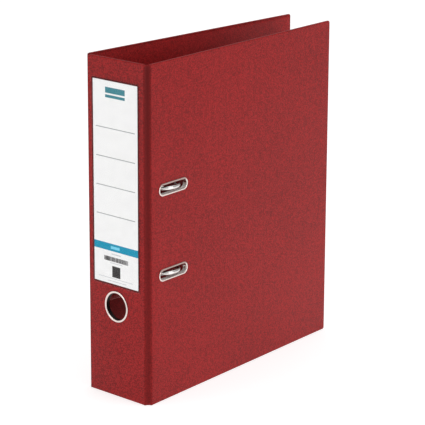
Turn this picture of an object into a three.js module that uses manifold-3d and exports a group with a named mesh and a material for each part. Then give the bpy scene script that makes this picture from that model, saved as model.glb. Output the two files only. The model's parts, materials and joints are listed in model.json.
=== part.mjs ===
// Lever arch file for A4 paper: a rigid case of film-covered board with a lever arch
// mechanism riveted inside its back cover. Millimetres, +Z up, standing on its lower edges.
//
// The case is a chain of flat panels joined by film hinges. Seen from above, the chain runs
// from the back cover's fore-edge, round the spine, to the front cover's fore-edge. In each
// link of the chain +X runs along the section, +Y points into the case and +Z is up.
import * as THREE from 'three';
import { mergeVertices } from 'three/addons/utils/BufferGeometryUtils.js';
import Module from 'manifold-3d';

const wasm = await Module();
wasm.setup();

// Case
const caseHeight = 318;
const coverWidth = 281;
const spineWidth = 71.6;
const hingeSpan = 5.37;
const creaseGap = 0.15;
const hingeFilmGap = 0.45;
const filmThickness = 0.4;
const boardThickness = 2;
const liningThickness = 0.3;
const hingeFilmThickness = 0.8;
const layerGap = 0.05;
const panelCornerRadius = 2;
// How far each hinge turns the chain when the file is shut, in degrees
const backFold = 42;
const backSpineFold = 47.3;
const frontSpineFold = 46.8;
const frontFold = 49;

// Openings in the case
const slotLength = 38.7;
const slotHeight = 8.4;
const slotFlange = 1.6;
const slotDistance = 31.9;
const holePitch = 80;
const mechanismHeight = 161;
const ringRadius = 12.8;
const ringFlange = 2;
const ringHeight = 87.3;
const ringOffset = -0.4;
const eyeletWall = 0.7;
const eyeletStand = 0.8;
const eyeletGap = 0.2;

// Spine label and its clear pocket
const labelWidth = 56.6;
const labelHeight = 189;
const labelThickness = 0.25;
const labelBottom = 108.4;
const labelCorner = 0.5;
const pocketBorder = 2;
const pocketSide = 0.35;
const pocketFilm = 0.2;
const pocketDepth = 0.5;
const pocketCorner = 1;

// Lever arch mechanism, placed from the back cover's hinge crease and inner face
const wireRadius = 1.9;
const shaftDepth = 17;
const postDepth = 44;
const postRadius = 2;
const shaftRise = 6;
const archRise = 75.5;
const archBend = 12;
const shaftBend = 5;
const crankBend = 3.5;
const tipGap = 0.4;
const crankReach = 12;
const crankWidth = 10;
const postRise = 58;
const postFoot = 3.4;
const postFootHeight = 0.9;
const postBore = 1.1;
const postBoreDepth = 6;
const postChamfer = 0.5;
const postChamferHeight = 1.5;
const plateDepths = [9, 55];
const plateLength = 164;
const plateThickness = 1;
const plateCorner = 6;
const plateRoot = 0.5;
const earRadius = 4.5;
const earFoot = 5;
const earThickness = 1;
const earGap = 0.5;
const bearingWall = 1.7;
const bearingWidth = 6;
const bearingGap = 0.3;
const leverDepth = 30.5;
const leverWidth = 13;
const leverSheet = 1.2;
const leverTail = 5.5;
const leverFoot = 3.4;
const leverWeb = 4.6;
const channelReach = 66;
const flangeReaches = [24, 60];
const tongueRise = 4;
const tongueBend = 6;
const pivotRise = 11.5;
const pinRadius = 1.8;
const rollerOffset = 12.5;
const rollerRadius = 3;
const rollerPinRadius = 1.3;
const rollerSideGap = 0.6;
const pinEnd = 2.2;
const gripReach = 92;
const gripRise = 8;
const gripThickness = 7;
const gripLength = 14;
const gripSide = 2;
const gripSlit = 1.6;
const gripSlitDepth = 9;
const bearingOffset = 31;
const rivetDepths = [16, 48];
const rivetOffset = 74;
const rivetShank = 1.6;
const rivetHead = 4;
const rivetHeadFace = 2.6;
const rivetHeadHeight = 0.8;
const rivetTail = 3.2;
const rivetTailFace = 2.2;
const springLeaf = 0.5;
const springWidth = 6;
const springReaches = [-4, 3, 12, 22];
const compressorRest = 1.4;
const compressorSheet = 1;
const compressorSides = [4, 7];
const compressorOverhang = 9;
const compressorLip = 5;
const compressorLipInset = 6;
const compressorCorner = 3;
const compressorGap = 0.5;
const thumbGripRise = 9;
const thumbGripWidth = 22;
const thumbGripDepth = 5;
const fitGap = 0.1;

const outerFace = -hingeFilmThickness / 2;
const boardFace = outerFace + filmThickness + layerGap;
const liningFace = boardFace + boardThickness + layerGap;
const innerFace = liningFace + liningThickness;
const ringMiddle = creaseGap + spineWidth / 2 + ringOffset;
const rollerRise = shaftRise + wireRadius + eyeletGap + rollerRadius;
const slotHeights = [mechanismHeight + holePitch / 2, mechanismHeight - holePitch / 2];
const radians = THREE.MathUtils.degToRad;

// Finishes
function finish(color, roughness, metalness = 0, opacity = 1) {
  return new THREE.MeshStandardMaterial({
    color, roughness, metalness, opacity, transparent: opacity < 1,
  });
}

const redFilm = finish(0x9a2f31, 0.45);
const greyBoard = finish(0x8d857a, 0.9);
const redLining = finish(0x7a2022, 0.6);
const nickel = finish(0xc8c6c0, 0.25, 1);
const springSteel = finish(0x9a9a9c, 0.35, 1);
const clearFilm = finish(0xf4f8fa, 0.1, 0, 0.3);
const paper = finish(0xf5f5f3, 0.8);
const blackPlastic = finish(0x1b1b1d, 0.5);

function part(group, name, geometry, material) {
  const mesh = new THREE.Mesh(geometry, material);
  mesh.name = name;
  group.add(mesh);
  return mesh;
}

// Solids joined and cut

function solid(geometry) {
  const bare = geometry.index ? geometry.toNonIndexed() : geometry.clone();
  bare.deleteAttribute('normal');
  bare.deleteAttribute('uv');
  const merged = mergeVertices(bare, 1e-4);
  return new wasm.Manifold(new wasm.Mesh({
    numProp: 3,
    vertProperties: new Float32Array(merged.attributes.position.array),
    triVerts: new Uint32Array(merged.index.array),
  }));
}

function fromSolid(manifold) {
  const mesh = manifold.getMesh();
  const geometry = new THREE.BufferGeometry();
  geometry.setAttribute('position', new THREE.BufferAttribute(new Float32Array(mesh.vertProperties), 3));
  geometry.setIndex(new THREE.BufferAttribute(new Uint32Array(mesh.triVerts), 1));
  geometry.computeVertexNormals();
  return geometry;
}

// Outlines

// Quarter circles one after another, from the given number of quarter turns
function addQuarters(path, x, z, radius, first, count) {
  for (let quarter = first; quarter < first + count; quarter += 1) {
    path.absarc(x, z, radius, quarter * Math.PI / 2, (quarter + 1) * Math.PI / 2);
  }
}

function roundedRectangle(x0, x1, z0, z1, radius) {
  const shape = new THREE.Shape();
  addQuarters(shape, x1 - radius, z0 + radius, radius, -1, 1);
  addQuarters(shape, x1 - radius, z1 - radius, radius, 0, 1);
  addQuarters(shape, x0 + radius, z1 - radius, radius, 1, 1);
  addQuarters(shape, x0 + radius, z0 + radius, radius, 2, 1);
  shape.closePath();
  return shape;
}

function stadium(x, z, length, height) {
  const radius = height / 2;
  const reach = length / 2 - radius;
  const path = new THREE.Shape();
  addQuarters(path, x + reach, z, radius, -1, 2);
  addQuarters(path, x - reach, z, radius, 1, 2);
  path.closePath();
  return path;
}

function stadiumUp(x, z, width, height) {
  const radius = width / 2;
  const reach = height / 2 - radius;
  const path = new THREE.Shape();
  addQuarters(path, x, z + reach, radius, 0, 2);
  addQuarters(path, x, z - reach, radius, 2, 2);
  path.closePath();
  return path;
}

function circle(x, z, radius) {
  const path = new THREE.Shape();
  addQuarters(path, x, z, radius, 0, 4);
  return path;
}

function extruded(shape, depth, curveSegments) {
  return new THREE.ExtrudeGeometry(shape, { depth, bevelEnabled: false, curveSegments });
}

// A flat outline in X and Z, with holes, given thickness along Y
function slab(outline, holes, y0, y1, curveSegments = 3) {
  const shape = outline.clone();
  shape.holes = holes;
  const geometry = extruded(shape, y1 - y0, curveSegments);
  geometry.rotateX(Math.PI / 2);
  geometry.translate(0, y1, 0);
  return geometry;
}

// A flat outline in X and Y, with holes, given height along Z
function column(outline, holes, z0, z1, curveSegments = 3) {
  const shape = outline.clone();
  shape.holes = holes;
  const geometry = extruded(shape, z1 - z0, curveSegments);
  geometry.translate(0, 0, z0);
  return geometry;
}

// A flat outline in Y and Z, with holes, given thickness along X
function plate(outline, holes, x0, x1, curveSegments = 3) {
  const shape = outline.clone();
  shape.holes = holes;
  const geometry = extruded(shape, x1 - x0, curveSegments);
  geometry.rotateX(Math.PI / 2);
  geometry.rotateZ(Math.PI / 2);
  geometry.translate(x0, 0, 0);
  return geometry;
}

// A turned piece about the Y axis, from [radius, y] pairs
function turned(profile, segments = 32) {
  return new THREE.LatheGeometry(profile.map(([r, y]) => new THREE.Vector2(r, y)), segments);
}

// Case panels: an outer film wrapped over the edges of a board, and a lining inside

function panel(group, name, x0, width, holes) {
  const x1 = x0 + width;
  const inset = filmThickness;
  const outline = roundedRectangle(x0, x1, 0, caseHeight, panelCornerRadius);
  const sheet = slab(outline, holes, outerFace, innerFace);
  const pocketOutline = (gap) => roundedRectangle(
    x0 + inset + gap,
    x1 - inset - gap,
    inset + gap,
    caseHeight - inset - gap,
    panelCornerRadius - inset,
  );
  const pocket = slab(pocketOutline(0), [], outerFace + filmThickness, innerFace + 1);
  part(group, `${name}_film`, fromSolid(solid(sheet).subtract(solid(pocket))), redFilm);
  const board = slab(pocketOutline(layerGap), holes, boardFace, boardFace + boardThickness);
  part(group, `${name}_board`, board, greyBoard);
  part(group, `${name}_lining`, slab(pocketOutline(layerGap), holes, liningFace, innerFace), redLining);
}

function hingeFilm(group, name) {
  const outline = roundedRectangle(hingeFilmGap, hingeSpan - hingeFilmGap, 0, caseHeight, 0.3);
  part(group, name, slab(outline, [], outerFace, -outerFace, 1), redFilm);
}

function slotEyelet(group, name, z) {
  const inner = stadium(slotDistance, z, slotLength, slotHeight);
  const grown = (wall) => stadium(slotDistance, z, slotLength + 2 * wall, slotHeight + 2 * wall);
  const flange = slab(grown(slotFlange), [inner], outerFace - eyeletStand, outerFace - fitGap);
  const collar = slab(grown(eyeletWall), [inner], outerFace - eyeletStand, innerFace + eyeletStand);
  part(group, `slot_eyelet_${name}`, fromSolid(solid(flange).add(solid(collar))), nickel);
  const backingHole = grown(eyeletWall + eyeletGap);
  const backing = slab(grown(slotFlange + 1), [backingHole], innerFace + fitGap, innerFace + eyeletStand);
  part(group, `slot_backing_${name}`, backing, nickel);
}

function fingerRing(group) {
  const ring = part(group, 'finger_ring', turned([
    [ringRadius, outerFace - eyeletStand],
    [ringRadius + ringFlange, outerFace - eyeletStand],
    [ringRadius + ringFlange, outerFace - fitGap],
    [ringRadius + eyeletWall, outerFace - fitGap],
    [ringRadius + eyeletWall, innerFace + eyeletStand],
    [ringRadius, innerFace + eyeletStand],
    [ringRadius, outerFace - eyeletStand],
  ], 40), nickel);
  const bore = ringRadius + eyeletWall + eyeletGap;
  const backing = part(group, 'finger_ring_backing', turned([
    [bore, innerFace + fitGap],
    [bore + ringFlange, innerFace + fitGap],
    [bore + ringFlange, innerFace + eyeletStand],
    [bore, innerFace + eyeletStand],
    [bore, innerFace + fitGap],
  ], 40), nickel);
  ring.position.set(ringMiddle, 0, ringHeight);
  backing.position.set(ringMiddle, 0, ringHeight);
}

function spineLabel(group) {
  const middle = creaseGap + spineWidth / 2;
  const half = labelWidth / 2;
  const bottom = labelBottom;
  const top = bottom + labelHeight;
  const pocketFace = outerFace - layerGap;
  const reach = half + pocketSide;
  const edge = reach + pocketBorder;
  const lowest = bottom - pocketSide;
  const outline = roundedRectangle(
    middle - edge, middle + edge, lowest - pocketBorder, top + pocketBorder, pocketCorner);
  const opening = roundedRectangle(
    middle - reach, middle + reach, lowest, top + 3 * pocketBorder, pocketFilm);
  const sheet = slab(outline, [], pocketFace - pocketDepth - pocketFilm, pocketFace);
  const space = slab(opening, [], pocketFace - pocketDepth, pocketFace + 1);
  part(group, 'label_pocket', fromSolid(solid(sheet).subtract(solid(space))), clearFilm);
  const labelFace = pocketFace - (pocketDepth - labelThickness) / 2;
  const card = roundedRectangle(middle - half, middle + half, bottom, top, labelCorner);
  const label = slab(card, [], labelFace - labelThickness, labelFace);
  part(group, 'spine_label', label, paper);
}

// The mechanism: X rises from the back cover's inner face, Y is the distance from its hinge crease

function wirePath() {
  const [upper, lower] = slotHeights.map((z) => z - mechanismHeight);
  const tip = postRise + tipGap;
  const crank = shaftDepth + crankReach;
  const crankTop = rollerOffset + crankWidth / 2;
  const crankBottom = rollerOffset - crankWidth / 2;
  const corners = [
    { x: tip, y: postDepth, z: upper, bend: 0 },
    { x: archRise, y: postDepth, z: upper, bend: archBend },
    { x: archRise, y: shaftDepth, z: upper, bend: archBend },
    { x: shaftRise, y: shaftDepth, z: upper, bend: shaftBend },
    { x: shaftRise, y: shaftDepth, z: crankTop, bend: crankBend },
    { x: shaftRise, y: crank, z: crankTop, bend: crankBend },
    { x: shaftRise, y: crank, z: crankBottom, bend: crankBend },
    { x: shaftRise, y: shaftDepth, z: crankBottom, bend: crankBend },
    { x: shaftRise, y: shaftDepth, z: lower, bend: shaftBend },
    { x: archRise, y: shaftDepth, z: lower, bend: archBend },
    { x: archRise, y: postDepth, z: lower, bend: archBend },
    { x: tip, y: postDepth, z: lower, bend: 0 },
  ];
  const path = new THREE.CurvePath();
  const places = corners.map((c) => new THREE.Vector3(c.x, c.y, c.z));
  let from = places[0];
  for (let i = 1; i < places.length - 1; i += 1) {
    const into = places[i].clone().sub(places[i - 1]).normalize();
    const out = places[i + 1].clone().sub(places[i]).normalize();
    const start = places[i].clone().addScaledVector(into, -corners[i].bend);
    const end = places[i].clone().addScaledVector(out, corners[i].bend);
    path.add(new THREE.LineCurve3(from, start));
    path.add(new QuarterBend(start, places[i], end));
    from = end;
  }
  path.add(new THREE.LineCurve3(from, places[places.length - 1]));
  return path;
}

// A circular right-angle bend from start to end, whose tangents meet at corner
class QuarterBend extends THREE.Curve {
  constructor(start, corner, end) {
    super();
    this.centre = start.clone().add(end).sub(corner);
    this.alongStart = start.clone().sub(this.centre);
    this.alongEnd = end.clone().sub(this.centre);
  }

  getPoint(t, target = new THREE.Vector3()) {
    const angle = t * Math.PI / 2;
    return target.copy(this.centre)
      .addScaledVector(this.alongStart, Math.cos(angle))
      .addScaledVector(this.alongEnd, Math.sin(angle));
  }
}

function archWire(group) {
  const section = new THREE.Shape();
  section.absarc(0, 0, wireRadius, 0, Math.PI * 2);
  const geometry = new THREE.ExtrudeGeometry(section, {
    steps: 110, curveSegments: 5, bevelEnabled: false, extrudePath: wirePath(),
  });
  part(group, 'arch_wire', geometry, nickel);
}

function rivetPlaces() {
  return [-rivetOffset, rivetOffset].flatMap((z) => rivetDepths.map((y) => [y, z]));
}

// The plate's two ears hold the lever's pivot pin, and its two bearings hold the wire's shaft
function basePlate(group) {
  const [near, far] = plateDepths;
  const half = plateLength / 2;
  const holes = rivetPlaces().map(([y, z]) => circle(y, z, rivetShank + eyeletGap));
  const outline = roundedRectangle(near, far, -half, half, plateCorner);
  const blank = plate(outline, holes, fitGap, plateThickness);
  let body = solid(blank);
  for (const side of [-1, 1]) {
    const inner = leverDepth + side * (leverWidth / 2 + earGap);
    const outer = inner + side * earThickness;
    const ear = new THREE.Shape();
    ear.moveTo(plateRoot, -earFoot);
    ear.lineTo(pivotRise, -earRadius);
    ear.absarc(pivotRise, 0, earRadius, -Math.PI / 2, Math.PI / 2);
    ear.lineTo(plateRoot, earFoot);
    ear.closePath();
    const pinHole = circle(pivotRise, 0, pinRadius + eyeletGap);
    body = body.add(solid(slab(ear, [pinHole], Math.min(inner, outer), Math.max(inner, outer))));
  }
  for (const z of [-bearingOffset, bearingOffset]) {
    const outer = wireRadius + bearingWall;
    const strap = new THREE.Shape();
    strap.moveTo(plateRoot, shaftDepth - outer);
    strap.lineTo(shaftRise, shaftDepth - outer);
    strap.absarc(shaftRise, shaftDepth, outer, -Math.PI / 2, Math.PI / 2);
    strap.lineTo(plateRoot, shaftDepth + outer);
    strap.closePath();
    const bore = circle(shaftRise, shaftDepth, wireRadius + bearingGap);
    const bearing = column(strap, [bore], z - bearingWidth / 2, z + bearingWidth / 2);
    body = body.add(solid(bearing));
  }
  part(group, 'base_plate', fromSolid(body), nickel);
}

// A turned piece that stands on the cover, from [radius, rise] pairs
function turnedOnCover(profile, y, z, segments = 20) {
  const geometry = turned(profile, segments);
  geometry.rotateZ(-Math.PI / 2);
  geometry.translate(0, y, z);
  return geometry;
}

function posts(group) {
  const bottom = plateThickness + fitGap;
  const shoulder = bottom + postFootHeight;
  const profile = [
    [0, bottom],
    [postFoot, bottom],
    [postFoot, shoulder],
    [postRadius, shoulder],
    [postRadius, postRise - postChamferHeight],
    [postRadius - postChamfer, postRise],
    [postBore, postRise],
    [postBore, postRise - postBoreDepth],
    [0, postRise - postBoreDepth],
  ];
  slotHeights.forEach((height, i) => {
    const z = height - mechanismHeight;
    part(group, ['post_upper', 'post_lower'][i], turnedOnCover(profile, postDepth, z), nickel);
  });
}

function baseRivets(group) {
  const outside = outerFace - innerFace - fitGap;
  const top = plateThickness + fitGap;
  const profile = [
    [0, outside - rivetHeadHeight],
    [rivetHeadFace, outside - rivetHeadHeight],
    [rivetHead, outside],
    [rivetShank, outside],
    [rivetShank, top],
    [rivetTail, top],
    [rivetTailFace, top + rivetHeadHeight],
    [0, top + rivetHeadHeight],
  ];
  rivetPlaces().forEach(([y, z], i) => {
    part(group, `base_rivet_${i + 1}`, turnedOnCover(profile, y, z, 16), nickel);
  });
}

// The lever is a sheet channel whose two flanges hold the pivot pin and the roller's pin
function lever(group) {
  const half = leverWidth / 2;
  const web = pivotRise + leverWeb;
  const foot = pivotRise - leverFoot;
  const tongue = web + tongueRise;
  const [flangeStart, flangeEnd] = flangeReaches;
  const side = new THREE.Shape();
  side.moveTo(foot, 1 - leverTail);
  side.lineTo(foot + 1, -leverTail);
  side.lineTo(web, -leverTail);
  side.lineTo(web, channelReach);
  side.lineTo(tongue, gripReach - tongueBend);
  side.lineTo(tongue, gripReach);
  side.lineTo(tongue - leverSheet, gripReach);
  side.lineTo(tongue - leverSheet, gripReach - tongueBend + 0.4);
  side.lineTo(web - leverSheet - 0.2, channelReach + 0.5);
  side.lineTo(web - 3, flangeEnd);
  side.lineTo(foot, flangeStart);
  side.closePath();
  const pivotHole = circle(pivotRise, 0, pinRadius + eyeletGap);
  const rollerHole = circle(rollerRise, rollerOffset, rollerPinRadius + eyeletGap);
  const blank = solid(slab(side, [pivotHole, rollerHole], leverDepth - half, leverDepth + half));
  const hollow = new THREE.Shape();
  hollow.moveTo(foot - 2, -2 * leverTail);
  hollow.lineTo(web - leverSheet, -2 * leverTail);
  hollow.lineTo(web - leverSheet, channelReach + 0.2);
  hollow.lineTo(foot - 2, channelReach + 0.2);
  hollow.closePath();
  const core = solid(slab(hollow, [], leverDepth - half + leverSheet, leverDepth + half - leverSheet));
  part(group, 'lever_arm', fromSolid(blank.subtract(core)), nickel);
}

// The grip is a moulded sleeve pushed over the lever's end
function leverGrip(group) {
  const half = leverWidth / 2;
  const side = half + gripSide;
  const slack = half + eyeletGap;
  const middle = pivotRise + gripRise;
  const outline = stadiumUp(middle, gripReach + 1, gripThickness, gripLength);
  const slit = roundedRectangle(
    middle - gripSlit / 2, middle + gripSlit / 2, gripReach - gripSlitDepth, gripReach + eyeletGap, 0.2);
  const sleeve = solid(slab(outline, [], leverDepth - side, leverDepth + side));
  const space = solid(slab(slit, [], leverDepth - slack, leverDepth + slack));
  part(group, 'lever_grip', fromSolid(sleeve.subtract(space)), blackPlastic);
}

function leverPins(group) {
  const half = leverWidth / 2;
  const pinAlongY = (radius, reach, x, z) => {
    const pin = turned([[0, -reach], [radius, -reach], [radius, reach], [0, reach]], 16);
    pin.translate(x, leverDepth, z);
    return pin;
  };
  part(group, 'pivot_pin', pinAlongY(pinRadius, half + pinEnd, pivotRise, 0), nickel);
  const rollerPin = pinAlongY(rollerPinRadius, half + rollerSideGap, rollerRise, rollerOffset);
  part(group, 'roller_pin', rollerPin, nickel);
  const reach = half - leverSheet - rollerSideGap;
  const bore = rollerPinRadius + eyeletGap;
  const roller = turned([
    [bore, -reach], [rollerRadius, -reach], [rollerRadius, reach], [bore, reach], [bore, -reach],
  ], 24);
  roller.translate(rollerRise, leverDepth, rollerOffset);
  part(group, 'lever_roller', roller, springSteel);
}

// A leaf under the crank pushes the arches open when the lever lets go
function archSpring(group) {
  const underside = shaftRise - wireRadius - bearingGap;
  const foot = plateThickness + fitGap;
  const [end, rise, bend, start] = springReaches.map((reach) => rollerOffset + reach);
  const outline = new THREE.Shape();
  outline.moveTo(foot, start);
  outline.lineTo(foot, bend);
  outline.lineTo(underside - springLeaf, rise);
  outline.lineTo(underside - springLeaf, end);
  outline.lineTo(underside, end);
  outline.lineTo(underside, rise + 0.2);
  outline.lineTo(foot + springLeaf, bend + 0.2);
  outline.lineTo(foot + springLeaf, start);
  outline.closePath();
  const middle = shaftDepth + crankReach - 1;
  const leaf = slab(outline, [], middle - springWidth / 2, middle + springWidth / 2);
  part(group, 'arch_spring', leaf, springSteel);
}

// The compressor bar slides on the posts and holds the sheets down
function compressor(group) {
  const near = postDepth - compressorSides[0];
  const far = postDepth + compressorSides[1];
  const half = holePitch / 2 + compressorOverhang;
  const rest = plateThickness + compressorRest;
  const top = rest + compressorSheet;
  const lipHalf = half - compressorLipInset;
  const postHole = (z) => circle(postDepth, z, postRadius + compressorGap);
  const holes = [postHole(-holePitch / 2), postHole(holePitch / 2)];
  const bar = roundedRectangle(near, far, -half, half, compressorCorner);
  const edge = roundedRectangle(rest, rest + compressorLip, -lipHalf, lipHalf, 0.8);
  const flat = solid(plate(bar, holes, rest, top));
  const lip = solid(slab(edge, [], far - compressorSheet, far));
  part(group, 'compressor_bar', fromSolid(flat.add(lip)), nickel);
  const face = far - compressorSheet - fitGap;
  const outline = roundedRectangle(
    top + fitGap, rest + thumbGripRise, -thumbGripWidth / 2, thumbGripWidth / 2, 2);
  part(group, 'compressor_grip', slab(outline, [], far - thumbGripDepth, face), blackPlastic);
}

// Assembly

const file = new THREE.Group();

// The back cover stands along +Y from its crease, so its own section runs towards the crease
const backCover = new THREE.Group();
backCover.rotation.z = radians(-90);
file.add(backCover);

function nextLink(link, length, fold) {
  const next = new THREE.Group();
  next.position.x = length;
  next.rotation.z = radians(fold);
  link.add(next);
  return next;
}

const backHinge = nextLink(backCover, 0, backFold);
const spine = nextLink(backHinge, hingeSpan, backSpineFold);
const frontHinge = nextLink(spine, spineWidth + 2 * creaseGap, frontSpineFold);
const frontCover = nextLink(frontHinge, hingeSpan, frontFold);

const collarCut = 2 * (eyeletWall + eyeletGap);
const slotCuts = slotHeights.map(
  (z) => stadium(slotDistance, z, slotLength + collarCut, slotHeight + collarCut));
const ringCut = circle(ringMiddle, ringHeight, ringRadius + eyeletWall + 2 * eyeletGap);
const rivetCuts = rivetPlaces().map(([y, z]) => circle(-y, z + mechanismHeight, rivetShank + eyeletGap));

panel(backCover, 'back', -coverWidth - creaseGap, coverWidth, rivetCuts);
panel(spine, 'spine', creaseGap, spineWidth, [ringCut]);
panel(frontCover, 'front', creaseGap, coverWidth, slotCuts);
hingeFilm(backHinge, 'back_hinge_film');
hingeFilm(frontHinge, 'front_hinge_film');
spineLabel(spine);
fingerRing(spine);
slotEyelet(frontCover, 'upper', slotHeights[0]);
slotEyelet(frontCover, 'lower', slotHeights[1]);

const mechanism = new THREE.Group();
mechanism.position.set(innerFace, 0, mechanismHeight);
file.add(mechanism);
basePlate(mechanism);
baseRivets(mechanism);
posts(mechanism);
archWire(mechanism);
archSpring(mechanism);
lever(mechanism);
leverGrip(mechanism);
leverPins(mechanism);
compressor(mechanism);

// The origin is the middle of the base
const box = new THREE.Box3().setFromObject(file, true);
const middle = box.getCenter(new THREE.Vector3());
file.position.set(-middle.x, -middle.y, -box.min.z);

export default file;
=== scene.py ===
"""Lever arch file: the finished case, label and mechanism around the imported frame."""
import json
import math

import bmesh
import bpy
import numpy as np
from mathutils import Matrix, Vector


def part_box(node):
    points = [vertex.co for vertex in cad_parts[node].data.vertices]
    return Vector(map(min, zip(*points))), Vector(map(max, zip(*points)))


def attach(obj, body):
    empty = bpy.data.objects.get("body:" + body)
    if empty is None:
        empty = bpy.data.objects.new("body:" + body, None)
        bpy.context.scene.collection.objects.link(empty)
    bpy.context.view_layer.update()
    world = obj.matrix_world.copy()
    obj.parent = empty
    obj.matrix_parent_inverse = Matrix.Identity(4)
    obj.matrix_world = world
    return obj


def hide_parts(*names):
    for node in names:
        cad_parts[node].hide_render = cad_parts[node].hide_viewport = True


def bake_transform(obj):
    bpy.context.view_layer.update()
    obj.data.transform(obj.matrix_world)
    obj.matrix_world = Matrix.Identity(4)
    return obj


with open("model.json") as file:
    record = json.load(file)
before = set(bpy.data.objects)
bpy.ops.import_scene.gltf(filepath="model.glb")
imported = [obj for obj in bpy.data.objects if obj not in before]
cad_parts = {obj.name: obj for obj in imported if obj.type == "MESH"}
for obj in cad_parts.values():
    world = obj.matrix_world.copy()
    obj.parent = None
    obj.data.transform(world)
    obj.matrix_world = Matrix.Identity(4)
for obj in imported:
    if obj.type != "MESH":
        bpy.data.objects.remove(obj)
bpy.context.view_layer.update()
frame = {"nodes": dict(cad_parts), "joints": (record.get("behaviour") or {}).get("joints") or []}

bl_info = {
    "name": "Lever Arch File",
    "version": (1, 0, 0),
    "blender": (4, 5, 0),
    "location": "View3D > Sidebar > File",
    "description": "Builds the covers, label and mechanism of a lever arch file",
    "category": "Object",
}

MM = 0.001
QUARTER = math.pi / 2


# ---------------------------------------------------------------- places in the case

class Link:
    """A flat run of the case seen from above: x along the section, y into the case, z up."""

    def __init__(self, origin, along):
        self.origin = Vector((origin[0], origin[1], 0.0))
        self.along = Vector((along[0], along[1], 0.0)).normalized()
        self.inward = Vector((-self.along.y, self.along.x, 0.0))

    def place(self, x, y, z):
        return self.origin + self.along * x + self.inward * y + Vector((0.0, 0.0, z))

    def local_box(self, node):
        """Lowest and highest corners of a CAD node in this link's own directions."""
        points = [v.co - self.origin for v in frame["nodes"][node].data.vertices]
        spans = [(p.dot(self.along), p.dot(self.inward), p.z) for p in points]
        return Vector(map(min, zip(*spans))), Vector(map(max, zip(*spans)))


def joint_place(child):
    """The point on a body's own hinge, in metres."""
    return Vector(next(j["pos_m"] for j in frame["joints"] if j["child"] == child))


def plan_direction(node, origin, away):
    """The long direction of a thin upright sheet, seen from above."""
    points = np.array([v.co[:2] for v in frame["nodes"][node].data.vertices])
    centre = points.mean(0)
    axis = np.linalg.svd(points - centre, full_matrices=False)[2][0]
    side = float(axis @ (centre - np.array(origin[:2])))
    return axis if (side > 0) == away else -axis


crease = {name: joint_place(name) for name in ("back_hinge", "spine", "front_hinge", "front_cover")}
links = {
    "back": Link(crease["back_hinge"], plan_direction("back_lining", crease["back_hinge"], False)),
    "back_hinge": Link(crease["back_hinge"], crease["spine"] - crease["back_hinge"]),
    "spine": Link(crease["spine"], crease["front_hinge"] - crease["spine"]),
    "front_hinge": Link(crease["front_hinge"], crease["front_cover"] - crease["front_hinge"]),
    "front": Link(crease["front_cover"], plan_direction("front_lining", crease["front_cover"], True)),
}
panel_body = {"back": "back_cover", "spine": "spine", "front": "front_cover"}


# ---------------------------------------------------------------- settings

class FILE_PG_case(bpy.types.PropertyGroup):
    film_color: bpy.props.FloatVectorProperty(
        name="Film", description="Colour of the embossed case film", subtype="COLOR",
        size=3, min=0, max=1, default=(0.258, 0.0095, 0.0098))
    board_color: bpy.props.FloatVectorProperty(
        name="Board", description="Colour of the greyboard core", subtype="COLOR",
        size=3, min=0, max=1, default=(0.30, 0.27, 0.23))
    edge_radius: bpy.props.FloatProperty(
        name="Edge radius", description="Rounding of the film over the board's edges",
        default=1.05 * MM, min=0.2 * MM, max=1.3 * MM, subtype="DISTANCE", unit="LENGTH")
    film: bpy.props.FloatProperty(
        name="Film thickness", description="Thickness of the case film",
        default=0.35 * MM, min=0.1 * MM, max=0.6 * MM, subtype="DISTANCE", unit="LENGTH")
    turn_in: bpy.props.FloatProperty(
        name="Turn-in", description="How far the film laps onto the inside of a panel",
        default=13 * MM, min=4 * MM, max=25 * MM, subtype="DISTANCE", unit="LENGTH")
    groove: bpy.props.FloatProperty(
        name="Groove depth", description="How far the film dips between two boards at a hinge",
        default=1.3 * MM, min=0.2 * MM, max=1.6 * MM, subtype="DISTANCE", unit="LENGTH")


class FILE_PG_label(bpy.types.PropertyGroup):
    card_color: bpy.props.FloatVectorProperty(
        name="Card", description="Colour of the label card", subtype="COLOR",
        size=3, min=0, max=1, default=(0.94, 0.94, 0.935))
    band_color: bpy.props.FloatVectorProperty(
        name="Band", description="Colour of the printed band", subtype="COLOR",
        size=3, min=0, max=1, default=(0.004, 0.30, 0.47))
    mark_color: bpy.props.FloatVectorProperty(
        name="Mark", description="Colour of the plain block at the top", subtype="COLOR",
        size=3, min=0, max=1, default=(0.03, 0.22, 0.27))
    rules: bpy.props.IntProperty(
        name="Rules", description="Number of writing rules", default=4, min=0, max=8)
    bars: bpy.props.IntProperty(
        name="Bars", description="Number of bars in the stock mark", default=26, min=4, max=60)


class FILE_PG_metal(bpy.types.PropertyGroup):
    nickel_color: bpy.props.FloatVectorProperty(
        name="Nickel", description="Colour of the nickel plate", subtype="COLOR",
        size=3, min=0, max=1, default=(0.76, 0.74, 0.72))
    bevel: bpy.props.FloatProperty(
        name="Edge break", description="Rounding of sheet metal and moulded edges",
        default=0.14 * MM, min=0.02 * MM, max=0.4 * MM, subtype="DISTANCE", unit="LENGTH")
    wire_sides: bpy.props.IntProperty(
        name="Wire sides", description="Sides of the bent wire's section", default=24, min=8, max=48)


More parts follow.
